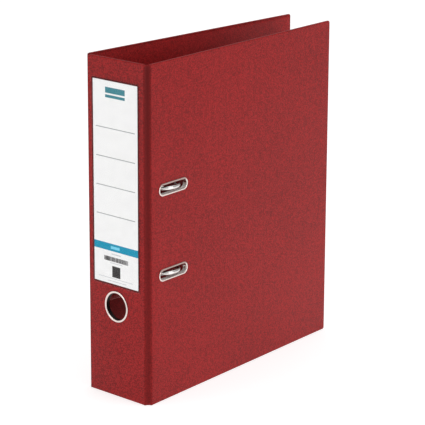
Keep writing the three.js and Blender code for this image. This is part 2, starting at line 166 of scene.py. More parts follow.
class FILE_PG_stage(bpy.types.PropertyGroup):
    azimuth: bpy.props.FloatProperty(
        name="Azimuth", description="Camera's turn from the spine towards the front cover",
        default=math.radians(42.14), subtype="ANGLE", unit="ROTATION")
    elevation: bpy.props.FloatProperty(
        name="Elevation", description="Camera's height above level",
        default=math.radians(15.38), subtype="ANGLE", unit="ROTATION")
    roll: bpy.props.FloatProperty(
        name="Roll", description="Camera's tilt about its own line of sight",
        default=math.radians(0.26), subtype="ANGLE", unit="ROTATION")
    distance: bpy.props.FloatProperty(
        name="Distance", description="Camera to the point that it looks at",
        default=2.02509, min=0.3, subtype="DISTANCE", unit="LENGTH")
    lens: bpy.props.FloatProperty(
        name="Lens", description="Focal length on a 36 mm sensor", default=175.615, min=20, max=300)
    aim: bpy.props.FloatVectorProperty(
        name="Aim", description="Point that the camera looks at", size=3, subtype="TRANSLATION",
        default=(-0.03090, 0.02211, 0.13806), unit="LENGTH")
    backdrop: bpy.props.FloatVectorProperty(
        name="Backdrop", description="Colour of the floor and surroundings", subtype="COLOR",
        size=3, min=0, max=1, default=(0.6, 0.6, 0.6))


# ---------------------------------------------------------------- meshes

def rounded_rectangle(x0, x1, z0, z1, radius, steps=6):
    """Points round a rectangle with rounded corners, anticlockwise."""
    centres = ((x1 - radius, z1 - radius), (x0 + radius, z1 - radius),
               (x0 + radius, z0 + radius), (x1 - radius, z0 + radius))
    points = []
    for quarter, (cx, cz) in enumerate(centres):
        for i in range(steps + 1):
            angle = (quarter + i / steps) * QUARTER
            points.append((cx + radius * math.cos(angle), cz + radius * math.sin(angle)))
    return points


def stadium(cx, cz, length, height, steps):
    """Points round a slot or, where its length is its height, a circle."""
    return rounded_rectangle(cx - length / 2, cx + length / 2, cz - height / 2, cz + height / 2,
                             height / 2 - 1e-7, steps)


def arc(centre, radius, start, end, steps):
    """Points on a circular arc in a plane, angles in quarter turns."""
    for i in range(steps + 1):
        angle = (start + (end - start) * i / steps) * QUARTER
        yield centre[0] + radius * math.cos(angle), centre[1] + radius * math.sin(angle)


def loft(rings, closed=False):
    """Vertices and faces that join closed loops one after another, with flat ends."""
    count = len(rings[0])
    vertices = [point for ring in rings for point in ring]
    pairs = [(i, i + 1) for i in range(len(rings) - 1)]
    if closed:
        pairs.append((len(rings) - 1, 0))
    faces = []
    for a, b in pairs:
        for i in range(count):
            j = (i + 1) % count
            faces.append((a * count + i, a * count + j, b * count + j, b * count + i))
    if not closed:
        faces.append(tuple(range(count)))
        faces.append(tuple(range((len(rings) - 1) * count, len(rings) * count)))
    return vertices, faces


def mesh_object(name, vertices, faces, smooth=40, **values):
    """A closed mesh with merged seams, outward faces and smooth shading below an angle.

    Each further keyword is a named value for every vertex, which a material can read."""
    mesh = bpy.data.meshes.new(name)
    mesh.from_pydata([tuple(v) for v in vertices], [], faces)
    for label, numbers in values.items():
        mesh.attributes.new(label, "FLOAT", "POINT").data.foreach_set("value", numbers)
    tidy_mesh(mesh, smooth)
    obj = bpy.data.objects.new(name, mesh)
    bpy.context.scene.collection.objects.link(obj)
    return obj


def tidy_mesh(mesh, smooth=40):
    shell = bmesh.new()
    shell.from_mesh(mesh)
    bmesh.ops.remove_doubles(shell, verts=shell.verts, dist=1e-6)
    bmesh.ops.dissolve_degenerate(shell, edges=shell.edges, dist=1e-7)
    bmesh.ops.recalc_face_normals(shell, faces=shell.faces)
    shell.to_mesh(mesh)
    shell.free()
    mesh.shade_smooth()
    mesh.set_sharp_from_angle(angle=math.radians(smooth))


def apply_modifiers(obj, smooth=40):
    """Turns an object with its modifiers into a plain mesh."""
    graph = bpy.context.evaluated_depsgraph_get()
    mesh = bpy.data.meshes.new_from_object(obj.evaluated_get(graph))
    obj.modifiers.clear()
    obj.data = mesh
    tidy_mesh(mesh, smooth)
    return obj


def boolean(obj, other, operation):
    """Joins or cuts obj by other, which is then removed."""
    change = obj.modifiers.new("Boolean", "BOOLEAN")
    change.operation = operation
    change.object = other
    change.solver = "EXACT"
    bpy.context.view_layer.update()
    apply_modifiers(obj)
    bpy.data.objects.remove(other)
    return obj


def turned(name, profile, place, axis, sides):
    """A turned piece, solid to its axis: profile holds (radius, distance along the axis) pairs."""
    turn = axis.to_track_quat("Z", "Y").to_matrix()
    rings = []
    for radius, along in profile:
        ring = [turn @ Vector((radius * math.cos(a), radius * math.sin(a), along)) + place
                for a in (4 * QUARTER * i / sides for i in range(sides))]
        rings.append(ring)
    return mesh_object(name, *loft(rings), smooth=35)


def refined(node, name=None, bevel=None):
    """A clean copy of a CAD node's mesh with its edges broken."""
    width, sharp = bevel or bpy.context.scene.file_metal.bevel, math.radians(32)
    mesh = frame["nodes"][node].data.copy()
    shell = bmesh.new()
    shell.from_mesh(mesh)
    bmesh.ops.remove_doubles(shell, verts=shell.verts, dist=2e-6)
    bmesh.ops.dissolve_limit(shell, angle_limit=math.radians(1), verts=shell.verts, edges=shell.edges)
    edges = [e for e in shell.edges if len(e.link_faces) == 2 and e.calc_face_angle() > sharp]
    bmesh.ops.bevel(shell, geom=edges, offset=width, offset_type="OFFSET", segments=2, profile=0.6,
                    affect="EDGES", clamp_overlap=True)
    shell.to_mesh(mesh)
    shell.free()
    mesh.materials.clear()
    obj = bpy.data.objects.new(name or f"{node}_finished", mesh)
    bpy.context.scene.collection.objects.link(obj)
    tidy_mesh(mesh, 30)
    return obj


def finish_piece(obj, body, material, slot, *nodes):
    """Gives a piece its material and its body, and hides the CAD nodes that it stands for. The slot argument
    is not used.
    """
    obj.data.materials.clear()
    obj.data.materials.append(material)
    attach(obj, body)
    if nodes:
        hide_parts(*nodes)
    return obj


# ---------------------------------------------------------------- shader groups

def group_tree(name, inputs, outputs):
    """An empty shader group with named inputs (name, kind, default) and outputs (name, kind)."""
    tree = bpy.data.node_groups.new(name, "ShaderNodeTree")
    for label, kind, default in inputs:
        socket = tree.interface.new_socket(label, in_out="INPUT", socket_type=kind)
        if default is not None:
            socket.default_value = default
    for label, kind in outputs:
        tree.interface.new_socket(label, in_out="OUTPUT", socket_type=kind)
    return tree, tree.nodes.new("NodeGroupInput"), tree.nodes.new("NodeGroupOutput")


def math_node(tree, operation, a, b):
    """A Math node fed by sockets or plain numbers."""
    node = tree.nodes.new("ShaderNodeMath")
    node.operation = operation
    for socket, value in zip(node.inputs, (a, b)):
        if isinstance(value, (int, float)):
            socket.default_value = value
        else:
            tree.links.new(value, socket)
    return node.outputs[0]


def noise(tree, vector, scale, detail=2.0, roughness=0.5):
    node = tree.nodes.new("ShaderNodeTexNoise")
    node.inputs["Detail"].default_value = detail
    node.inputs["Roughness"].default_value = roughness
    tree.links.new(vector, node.inputs["Vector"])
    if isinstance(scale, (int, float)):
        node.inputs["Scale"].default_value = scale
    else:
        tree.links.new(scale, node.inputs["Scale"])
    return node.outputs["Fac"]


def make_film_grain():
    """Embossed film: a pebbled fine grain, a slow unevenness of the board below, and a tone."""
    tree, source, result = group_tree(
        "film_grain",
        [("Vector", "NodeSocketVector", None), ("Scale", "NodeSocketFloat", 900.0),
         ("Unevenness", "NodeSocketFloat", 0.5)],
        [("Height", "NodeSocketFloat"), ("Swell", "NodeSocketFloat"), ("Tone", "NodeSocketFloat"),
         ("Shine", "NodeSocketFloat")])
    vector, scale = source.outputs["Vector"], source.outputs["Scale"]
    cells = tree.nodes.new("ShaderNodeTexVoronoi")
    cells.feature = "SMOOTH_F1"
    tree.links.new(vector, cells.inputs["Vector"])
    tree.links.new(scale, cells.inputs["Scale"])
    fine = noise(tree, vector, math_node(tree, "MULTIPLY", scale, 1.7), 3.0, 0.6)
    height = math_node(tree, "ADD", math_node(tree, "MULTIPLY", cells.outputs["Distance"], 0.9),
                       math_node(tree, "MULTIPLY", fine, 0.7))
    tree.links.new(height, result.inputs["Height"])
    slow = noise(tree, vector, 14.0, 2.0, 0.45)
    tree.links.new(math_node(tree, "MULTIPLY", slow, source.outputs["Unevenness"]), result.inputs["Swell"])
    patch = noise(tree, vector, 9.0, 3.0, 0.5)
    pebbles = tree.nodes.new("ShaderNodeTexVoronoi")
    tree.links.new(vector, pebbles.inputs["Vector"])
    tree.links.new(math_node(tree, "MULTIPLY", scale, 1.35), pebbles.inputs["Scale"])
    split = tree.nodes.new("ShaderNodeSeparateColor")
    tree.links.new(pebbles.outputs["Color"], split.inputs["Color"])
    tone = math_node(tree, "ADD", math_node(tree, "MULTIPLY", patch, 0.3),
                     math_node(tree, "MULTIPLY", split.outputs["Red"], 0.7))
    tree.links.new(tone, result.inputs["Tone"])
    tree.links.new(math_node(tree, "MULTIPLY", fine, 0.6), result.inputs["Shine"])
    return tree


def make_handling():
    """Plated metal: faint streaks and patches where fingers and sheets have rubbed it."""
    tree, source, result = group_tree(
        "handling",
        [("Vector", "NodeSocketVector", None), ("Scale", "NodeSocketFloat", 400.0)],
        [("Streaks", "NodeSocketFloat"), ("Patches", "NodeSocketFloat")])
    stretch = tree.nodes.new("ShaderNodeMapping")
    stretch.inputs["Scale"].default_value = (1.0, 1.0, 0.12)
    tree.links.new(source.outputs["Vector"], stretch.inputs["Vector"])
    tree.links.new(noise(tree, stretch.outputs["Vector"], source.outputs["Scale"], 3.0, 0.6),
                   result.inputs["Streaks"])
    tree.links.new(noise(tree, source.outputs["Vector"], 60.0, 3.0, 0.6), result.inputs["Patches"])
    return tree


def make_fibres():
    """Card and board: short fibres and a soft mottle."""
    tree, source, result = group_tree(
        "fibres",
        [("Vector", "NodeSocketVector", None), ("Scale", "NodeSocketFloat", 1500.0)],
        [("Height", "NodeSocketFloat"), ("Mottle", "NodeSocketFloat")])
    stretch = tree.nodes.new("ShaderNodeMapping")
    stretch.inputs["Scale"].default_value = (0.35, 1.0, 1.0)
    tree.links.new(source.outputs["Vector"], stretch.inputs["Vector"])
    tree.links.new(noise(tree, stretch.outputs["Vector"], source.outputs["Scale"], 4.0, 0.7),
                   result.inputs["Height"])
    tree.links.new(noise(tree, source.outputs["Vector"], 120.0, 4.0, 0.6), result.inputs["Mottle"])
    return tree


class Finish:
    """A material with its Principled shader and Object coordinates at hand."""

    def __init__(self, name):
        self.material = bpy.data.materials.new(name)
        self.material.use_nodes = True
        self.tree = self.material.node_tree
        self.shader = next(n for n in self.tree.nodes if n.type == "BSDF_PRINCIPLED")
        self.place = self.tree.nodes.new("ShaderNodeTexCoord").outputs["Object"]

    def set(self, values):
        for label, value in values.items():
            self.shader.inputs[label].default_value = value
        return self

    def group(self, name, **values):
        node = self.tree.nodes.new("ShaderNodeGroup")
        node.node_tree = bpy.data.node_groups[name]
        self.tree.links.new(self.place, node.inputs["Vector"])
        for label, value in values.items():
            node.inputs[label].default_value = value
        return node.outputs

    def color_between(self, mask, dark, light, low=0.3, high=0.7):
        ramp = self.tree.nodes.new("ShaderNodeValToRGB")
        ramp.color_ramp.elements[0].position = low
        ramp.color_ramp.elements[0].color = (*dark, 1)
        ramp.color_ramp.elements[1].position = high
        ramp.color_ramp.elements[1].color = (*light, 1)
        self.tree.links.new(mask, ramp.inputs["Fac"])
        self.tree.links.new(ramp.outputs["Color"], self.shader.inputs["Base Color"])

    def shade_by(self, attribute, dark):
        """Carries the base colour towards a darker one where a named value grows."""
        value = self.tree.nodes.new("ShaderNodeAttribute")
        value.attribute_name = attribute
        mix = self.tree.nodes.new("ShaderNodeMix")
        mix.data_type = "RGBA"
        first, second = (socket for socket in mix.inputs if socket.type == "RGBA")
        result = next(socket for socket in mix.outputs if socket.type == "RGBA")
        base = self.shader.inputs["Base Color"]
        self.tree.links.new(base.links[0].from_socket, first)
        second.default_value = (*dark, 1)
        self.tree.links.new(value.outputs["Fac"], mix.inputs[0])
        self.tree.links.new(result, base)

    def roughness_between(self, mask, low, high):
        spread = self.tree.nodes.new("ShaderNodeMapRange")
        spread.inputs["From Min"].default_value = 0.3
        spread.inputs["From Max"].default_value = 0.7
        spread.inputs["To Min"].default_value = low
        spread.inputs["To Max"].default_value = high
        self.tree.links.new(mask, spread.inputs["Value"])
        self.tree.links.new(spread.outputs["Result"], self.shader.inputs["Roughness"])

    def bump(self, *layers):
        """Bumps one over another, from (height socket, strength, depth in metres)."""
        below = None
        for height, strength, depth in layers:
            node = self.tree.nodes.new("ShaderNodeBump")
            node.inputs["Strength"].default_value = strength
            node.inputs["Distance"].default_value = depth
            self.tree.links.new(height, node.inputs["Height"])
            if below:
                self.tree.links.new(below, node.inputs["Normal"])
            below = node.outputs["Normal"]
        self.tree.links.new(below, self.shader.inputs["Normal"])


def scaled(color, factor):
    return tuple(min(1.0, c * factor) for c in color)


def film_material(name, color, shade=1.0, roughness=(0.42, 0.60), valley=None):
    finish = Finish(name).set({"IOR": 1.49, "Specular IOR Level": 0.13})
    grain = finish.group("film_grain", Scale=900.0, Unevenness=0.6)
    finish.color_between(grain["Tone"], scaled(color, 0.58 * shade), scaled(color, 1.44 * shade), 0.20, 0.80)
    finish.roughness_between(grain["Shine"], *roughness)
    finish.bump((grain["Swell"], 0.35, 1.5 * MM), (grain["Height"], 0.55, 0.12 * MM))
    # The named value on the mesh carries the film towards a darker tone: painted shade in a hinge's groove.
    if valley:
        finish.shade_by("valley", scaled(color, valley))
    return finish.material


def metal_material(name, color, roughness=(0.17, 0.25), metallic=1.0):
    finish = Finish(name).set({"Metallic": metallic})
    wear = finish.group("handling", Scale=500.0)
    finish.color_between(wear["Patches"], scaled(color, 0.94), scaled(color, 1.04))
    finish.roughness_between(wear["Streaks"], *roughness)
    finish.bump((wear["Streaks"], 0.08, 0.02 * MM))
    return finish.material


def card_material(name, color, roughness=(0.6, 0.8), gloss=0.25):
    finish = Finish(name).set({"Specular IOR Level": gloss})
    fibre = finish.group("fibres", Scale=1500.0)
    finish.color_between(fibre["Mottle"], scaled(color, 0.965), scaled(color, 1.02))
    finish.roughness_between(fibre["Height"], *roughness)
    finish.bump((fibre["Height"], 0.2, 0.03 * MM))
    return finish.material


def plastic_material(name, color, roughness=(0.32, 0.5)):
    finish = Finish(name).set({"IOR": 1.5})
    grain = finish.group("film_grain", Scale=2200.0, Unevenness=0.2)
    finish.color_between(grain["Tone"], scaled(color, 0.8), scaled(color, 1.3))
    finish.roughness_between(grain["Shine"], *roughness)
    finish.bump((grain["Height"], 0.3, 0.04 * MM))
    return finish.material


def clear_material(name):
    """Clear pocket film: mostly see-through, with its gloss kept."""
    finish = Finish(name).set({"IOR": 1.49, "Roughness": 0.16, "Alpha": 0.02,
                               "Base Color": (0.5, 0.5, 0.52, 1)})
    grain = finish.group("film_grain", Scale=500.0, Unevenness=1.0)
    finish.bump((grain["Swell"], 0.25, 0.8 * MM))
    return finish.material


def make_materials():
    settings = bpy.context.scene
    make_film_grain()
    make_handling()
    make_fibres()
    case, label, metal = settings.file_case, settings.file_label, settings.file_metal
    film = tuple(case.film_color)
    return {
        "film": film_material("case_film", film),
        # Painted shade: the hinge film is darker than the case film, and darker still towards the groove's
        # middle, for the groove's own shadow.
        "hinge": film_material("hinge_film", film, 0.88, valley=0.46),
        # The weld line is real, and its dark tone is partly painted shade: the thin shadow line round the
        # label.
        "weld": film_material("pocket_weld_shade", film, 0.36),
        # Painted light: the lining is a lighter copy of the case film, making up for the dim light inside
        # the case.
        "lining": film_material("lining_film_painted_light", film, 1.25, (0.5, 0.68)),
        "board": card_material("greyboard", tuple(case.board_color)),
        "nickel": metal_material("nickel_plate", tuple(metal.nickel_color)),
        "rim": metal_material("rim_nickel", (0.74, 0.64, 0.60)),
        # Painted light and shade on the eyelets and finger ring: a paler nickel for the upward floor of a
        # slot's collar, a nearly black nickel for the collar's roof and the finger ring's deep collar, and a
        # darker nickel for the upper run of a slot's rim.
        "lit_collar": metal_material("painted_light_nickel", (0.80, 0.77, 0.74), (0.45, 0.6), 0.35),
        "sleeve": metal_material("shaded_nickel", (0.05, 0.046, 0.044), (0.45, 0.6)),
        "shaded_rim": metal_material("painted_shade_nickel", (0.46, 0.35, 0.32), (0.4, 0.55)),
        "steel": metal_material("spring_steel", (0.42, 0.42, 0.44), (0.25, 0.42)),
        "black": plastic_material("black_moulding", (0.014, 0.014, 0.016)),
        "card": card_material("label_card", tuple(label.card_color)),
        "ink_band": card_material("band_ink", tuple(label.band_color), (0.4, 0.5), 0.04),
        "ink_mark": card_material("mark_ink", tuple(label.mark_color), (0.4, 0.5)),
        "ink_grey": card_material("rule_ink", (0.30, 0.31, 0.32), (0.5, 0.6)),
        "ink_dark": card_material("dark_ink", (0.035, 0.033, 0.032), (0.4, 0.5), 0.08),
        "ink_pale": card_material("pale_ink", (0.60, 0.62, 0.64), (0.5, 0.6)),
        "ink_sky": card_material("sky_ink", (0.20, 0.66, 0.86), (0.4, 0.5), 0.04),
        "clear": clear_material("pocket_film"),
    }


# ---------------------------------------------------------------- geometry node trees

def node_tree(name, inputs):
    """A geometry tree with a Geometry input, named number inputs and a Geometry output."""
    tree = bpy.data.node_groups.new(name, "GeometryNodeTree")
    tree.interface.new_socket("Geometry", in_out="INPUT", socket_type="NodeSocketGeometry")
    for label, kind, default in inputs:
        socket = tree.interface.new_socket(label, in_out="INPUT", socket_type=kind)
        if default is not None:
            socket.default_value = default
    tree.interface.new_socket("Geometry", in_out="OUTPUT", socket_type="NodeSocketGeometry")
    return tree, tree.nodes.new("NodeGroupInput"), tree.nodes.new("NodeGroupOutput")


def add_node(tree, kind, links=(), **values):
    """A node with sockets set by label (spaces as underscores) and links from (label, source) pairs."""
    node = tree.nodes.new(kind)
    for label, value in values.items():
        node.inputs[label.replace("_", " ")].default_value = value
    for label, source in links:
        tree.links.new(source, node.inputs[label])
    return node


def end_tree(tree, geometry, material, result):
    """Realize Instances and Set Material, then out."""
    real = add_node(tree, "GeometryNodeRealizeInstances", [("Geometry", geometry)])
    coat = add_node(tree, "GeometryNodeSetMaterial", [("Geometry", real.outputs[0])])
    coat.inputs["Material"].default_value = material
    tree.links.new(coat.outputs[0], result.inputs[0])


def run_tree(obj, tree, name, smooth=40, **values):
    """Runs a tree on obj with its inputs set by identifier, and returns the result as a new plain mesh."""
    change = obj.modifiers.new("Nodes", "NODES")
    change.node_group = tree
    for item in tree.interface.items_tree:
        if item.in_out == "INPUT" and item.name in values:
            change[item.identifier] = values[item.name]
    bpy.context.view_layer.update()
    graph = bpy.context.evaluated_depsgraph_get()
    mesh = bpy.data.meshes.new_from_object(obj.evaluated_get(graph))
    mesh.name = name
    bpy.data.objects.remove(obj)
    result = bpy.data.objects.new(name, mesh)
    bpy.context.scene.collection.objects.link(result)
    tidy_mesh(mesh, smooth)
    return result


def wire_tree(material):
    """A round wire along a curve, thinned by the curve's own radius at its tips."""
    tree, source, result = node_tree("bent_wire", [
        ("Wire radius", "NodeSocketFloat", 0.0019), ("Sides", "NodeSocketInt", 24)])
    section = add_node(tree, "GeometryNodeCurvePrimitiveCircle", [
        ("Resolution", source.outputs["Sides"]), ("Radius", source.outputs["Wire radius"])])
    tube = add_node(tree, "GeometryNodeCurveToMesh", [
        ("Curve", source.outputs["Geometry"]), ("Profile Curve", section.outputs["Curve"])])
    tube.inputs["Fill Caps"].default_value = True
    end_tree(tree, tube.outputs[0], material, result)
    return tree


def bars_tree(material):
    """A row of upright printed bars of seeded widths, starting from a unit bar."""
    tree, source, result = node_tree("printed_bars", [
        ("Count", "NodeSocketInt", 26), ("Spacing", "NodeSocketVector", (0.001, 0, 0)),
        ("Narrow", "NodeSocketFloat", 0.3), ("Wide", "NodeSocketFloat", 0.9),
        ("Seed", "NodeSocketInt", 7)])
    row = add_node(tree, "GeometryNodeMeshLine", [
        ("Count", source.outputs["Count"]), ("Offset", source.outputs["Spacing"])])
    widths = tree.nodes.new("FunctionNodeRandomValue")
    widths.data_type = "FLOAT"
    number_in = [s for s in widths.inputs if s.type == "VALUE"]
    tree.links.new(source.outputs["Narrow"], number_in[0])
    tree.links.new(source.outputs["Wide"], number_in[1])
    tree.links.new(source.outputs["Seed"], widths.inputs["Seed"])
    number_out = next(s for s in widths.outputs if s.type == "VALUE")
    size = add_node(tree, "ShaderNodeCombineXYZ", [("X", number_out)], Y=1.0, Z=1.0)
    bars = add_node(tree, "GeometryNodeInstanceOnPoints", [
        ("Points", row.outputs[0]), ("Instance", source.outputs["Geometry"]), ("Scale", size.outputs[0])])
    end_tree(tree, bars.outputs[0], material, result)
    return tree


def copies_tree(name, material):
    """Copies of a piece at each point of a second object's mesh."""
    tree, source, result = node_tree(name, [("Places", "NodeSocketObject", None)])
    info = add_node(tree, "GeometryNodeObjectInfo", [("Object", source.outputs["Places"])])
    copies = add_node(tree, "GeometryNodeInstanceOnPoints", [
        ("Points", info.outputs["Geometry"]), ("Instance", source.outputs["Geometry"])])
    end_tree(tree, copies.outputs[0], material, result)
    return tree


# ---------------------------------------------------------------- operators

class FILE_OT_stage(bpy.types.Operator):
    """Floor, light and camera"""
    bl_idname = "file.stage"
    bl_label = "Stage"

    def execute(self, context):
        scene = context.scene
        settings = scene.file_stage
        scene.view_settings.view_transform = "Standard"
        self.floor(tuple(settings.backdrop))
        self.lights(scene)
        self.camera(scene, settings)
        return {"FINISHED"}

    def floor(self, color):
        reach = 6.0
        corners = [(-reach, -reach, 0), (reach, -reach, 0), (reach, reach, 0), (-reach, reach, 0)]
        floor = mesh_object("floor", corners, [(0, 1, 2, 3)])
        finish = Finish("floor_paper").set({"Roughness": 0.9, "Specular IOR Level": 0.0,
                                            "Emission Color": (1, 1, 1, 1), "Emission Strength": 0.65})
        fibre = finish.group("fibres", Scale=300.0)
        finish.color_between(fibre["Mottle"], scaled(color, 0.995), color)
        floor.data.materials.append(finish.material)

    def lights(self, scene):
        world = bpy.data.worlds.new("studio")
        world.use_nodes = True
        sky = next(n for n in world.node_tree.nodes if n.type == "BACKGROUND")
        sky.inputs["Color"].default_value = (1, 1, 1, 1)
        sky.inputs["Strength"].default_value = 0.42
        scene.world = world
        plans = (
            ("key", (1.5, 0.35, 0.45), 0.9, 7.0),
            ("fill", (-0.55, -1.5, 0.3), 0.8, 5.9),
            ("top", (0.0, 0.6, 4.0), 5.0, 80.0),
        )
        for name, place, size, power in plans:
            light = bpy.data.lights.new(name, "AREA")
            light.size = size
            light.energy = power
            lamp = bpy.data.objects.new(name, light)
            lamp.location = place
            aim = Vector((0, 0, 0.15)) - Vector(place)
            lamp.rotation_euler = aim.to_track_quat("-Z", "Y").to_euler()
            scene.collection.objects.link(lamp)

    def camera(self, scene, settings):
        lens = bpy.data.cameras.new("camera")
        lens.lens = settings.lens
        lens.sensor_width = 36
        lens.clip_start = 0.05
        lens.clip_end = 50
        camera = bpy.data.objects.new("camera", lens)
        level = math.cos(settings.elevation)
        back = Vector((math.sin(settings.azimuth) * level, -math.cos(settings.azimuth) * level,
                       math.sin(settings.elevation)))
        look = (-back).to_track_quat("-Z", "Y").to_matrix()
        roll = Matrix.Rotation(settings.roll, 3, "Z")
        place = Matrix.Translation(Vector(settings.aim) + back * settings.distance)
        camera.matrix_world = place @ (look @ roll).to_4x4()
        scene.collection.objects.link(camera)
        scene.camera = camera


class FILE_OT_panels(bpy.types.Operator):
    """Outer film with turned-in edges, and inner lining, of the three panels"""
    bl_idname = "file.panels"
    bl_label = "Covers and Spine"

    def execute(self, context):
        case = context.scene.file_case
        for name, body in panel_body.items():
            link = links[name]
            low, high = link.local_box(f"{name}_film")
            film = self.film(name, link, low, high, case)
            for hole in self.holes(name, link):
                boolean(film, hole, "DIFFERENCE")
            finish_piece(film, body, materials["film"], "red_film", f"{name}_film")
            lining = self.lining(name, link, low, high)
            for hole in self.holes(name, link):
                boolean(lining, hole, "DIFFERENCE")
            # The lining's lighter film is painted light.
            finish_piece(lining, body, materials["lining"], "red_lining", f"{name}_lining")
            board = frame["nodes"][f"{name}_board"]
            board.data.materials.clear()
            board.data.materials.append(materials["board"])
        return {"FINISHED"}

    def film(self, name, link, low, high, case):
        """A film shell: its outer skin rounds every edge and laps onto the inside."""
        corner, skin, edge, inside = 2.0 * MM, case.film, case.edge_radius, 0.7 * MM
        bend, tightest = 1.6 * skin, 0.3 * MM
        profile = [(edge - x, low.y + edge - y) for x, y in arc((0, 0), edge, 1, 0, 6)]
        profile += [(inside - x, high.y - inside + y) for x, y in arc((0, 0), inside, 0, 1, 5)]
        profile += [(case.turn_in, high.y), (case.turn_in + skin, high.y - 0.7 * skin),
                    (case.turn_in, high.y - skin), (bend, high.y - skin),
                    (skin, high.y - bend), (skin, low.y + bend), (bend, low.y + skin)]
        rings = []
        for inset, depth in profile:
            outline = rounded_rectangle(low.x + inset, high.x - inset, low.z + inset, high.z - inset,
                                        max(corner - inset, tightest))
            rings.append([link.place(x, depth, z) for x, z in outline])
        return mesh_object(f"{name}_film_wrap", *loft(rings), smooth=50)

    def lining(self, name, link, low, high):
        """A thin sheet glued over the turned-in film, with a softened edge."""
        reach, sheet, corner = 2.0 * MM, 0.25 * MM, 1.5 * MM
        profile = [(reach, high.y - sheet), (reach, high.y + 0.6 * sheet), (reach + sheet, high.y + sheet)]
        rings = []
        for inset, depth in profile:
            outline = rounded_rectangle(low.x + inset, high.x - inset, low.z + inset, high.z - inset, corner)
            rings.append([link.place(x, depth, z) for x, z in outline])
        return mesh_object(f"{name}_lining_sheet", *loft(rings), smooth=50)

    def holes(self, name, link):
        """Cutters for the slots of the front cover and the finger hole of the spine."""
        through, margin = 12 * MM, 0.7 * MM
        rims = {"front": ("slot_eyelet_upper", "slot_eyelet_lower"), "spine": ("finger_ring",)}
        steps = 12 if name == "spine" else 10
        for node in rims.get(name, ()):
            low, high = link.local_box(node)
            outline = stadium((low.x + high.x) / 2, (low.z + high.z) / 2,
                              high.x - low.x - 2 * margin, high.z - low.z - 2 * margin, steps)
            rings = [[link.place(x, depth, z) for x, z in outline] for depth in (-through, through)]
            yield mesh_object("cutter", *loft(rings))


class FILE_OT_hinges(bpy.types.Operator):
    """Grooved film shaped over the four creases"""
    bl_idname = "file.hinges"
    bl_label = "Film Hinges"

    def execute(self, context):
        case = context.scene.file_case
        for side, first, last in (("back", "back", "spine"), ("front", "spine", "front")):
            self.hinge(side, links[first], links[last], case)
        return {"FINISHED"}

    def hinge(self, side, before, after, case):
        """Two strips meet on the hinge's own link, and each bends over one crease."""
        link = links[f"{side}_hinge"]
        low, high = link.local_box(f"{side}_hinge_film")
        lap, lift = 1.1 * MM, 0.06 * MM
        start = before.place(self.edge(before, "last") - lap, low.y - lift, 0)
        end = after.place(self.edge(after, "first") + lap, low.y - lift, 0)
        middle = link.place((after.origin - link.origin).length / 2, low.y + case.groove, 0)
        reach = 1.7 * MM
        bodies = ((panel_body_of(before), f"{side}_hinge"), (f"{side}_hinge", panel_body_of(after)))
        halves = (
            (start, start + before.along * reach, middle - link.along * reach, middle),
            (middle, middle + link.along * reach, end - after.along * reach, end),
        )
        bends = ((start + before.along * (lap * 0.5), middle), (middle, end - after.along * (lap * 0.5)))
        turns = ((before.inward, link.inward), (link.inward, after.inward))
        for label, points, pair, bend, (n0, n1) in zip(("first", "second"), halves, bodies, bends, turns):
            piece = self.strip(f"{side}_hinge_{label}", points, n0, n1, high.z, label == "first")
            # Hinge film with painted groove shade.
            piece.data.materials.append(materials["hinge"])
            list(pair)
            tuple(bend[0])
            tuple(bend[1])
            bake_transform(piece)
            if label == "first":
                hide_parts(f"{side}_hinge_film")

    def edge(self, link, which):
        name = next(n for n in panel_body if links[n] is link)
        low, high = link.local_box(f"{name}_film")
        return high.x if which == "last" else low.x

    def strip(self, name, points, start_normal, end_normal, height, deep_end):
        """A thin sheet along a cubic curve in plan. It carries a value of painted groove shade, which grows
        towards one end and the top.
        """
        steps, thickness, inset, fade = 18, 0.30 * MM, 0.25 * MM, 3.0 * MM
        p0, p1, p2, p3 = points
        levels = (inset, fade, height - fade, height - inset)
        # Painted groove shade up the strip: light at the bottom, strongest 3 mm below the top, lighter again
        # at the very top.
        height_shade = (0.2, 0.5, 1.0, 0.4)
        rings, valley = [], []
        for i in range(steps + 1):
            t = i / steps
            u = 1 - t
            centre = p0 * u ** 3 + p1 * 3 * u * u * t + p2 * 3 * u * t * t + p3 * t ** 3
            across = (start_normal * u + end_normal * t).normalized()
            inner = centre + across * thickness
            rings.append([Vector((plan.x, plan.y, z))
                          for plan, order in ((centre, levels), (inner, levels[::-1])) for z in order])
            # The painted shade grows towards the groove's middle.
            rise = u if deep_end else t
            depth = 1 - rise * rise
            valley += [depth * part for part in (*height_shade, *height_shade[::-1])]
        return mesh_object(name, *loft(rings), smooth=60, valley=valley)


def panel_body_of(link):
    return next(body for name, body in panel_body.items() if links[name] is link)


def rolled_rim(name, link, node, outline_of, flange, collar):
    """A pressed eyelet: a domed flange outside and a collar through the panel."""
    low, high = link.local_box(node)
    top, bottom = low.y, high.y
    dome = 0.75 * MM
    profile = [(flange, top + dome + 0.05 * MM), (flange, top + 0.55 * dome)]
    profile += [(flange - 0.35 * MM + 0.35 * MM * math.cos(a), top + 0.45 * dome - 0.45 * dome * math.sin(a))
                for a in (QUARTER * i / 4 for i in range(5))]
    bend = 0.55 * MM
    profile += [(bend - bend * math.sin(a), top + bend - bend * math.cos(a))
                for a in (QUARTER * i / 6 for i in range(7))]
    profile += [(0.0, bottom), (collar, bottom), (collar, top + dome + 0.05 * MM)]
    rings = [[link.place(x, depth, z) for x, z in outline_of(grow)] for grow, depth in profile]
    return mesh_object(name, *loft(rings, closed=True), smooth=50)


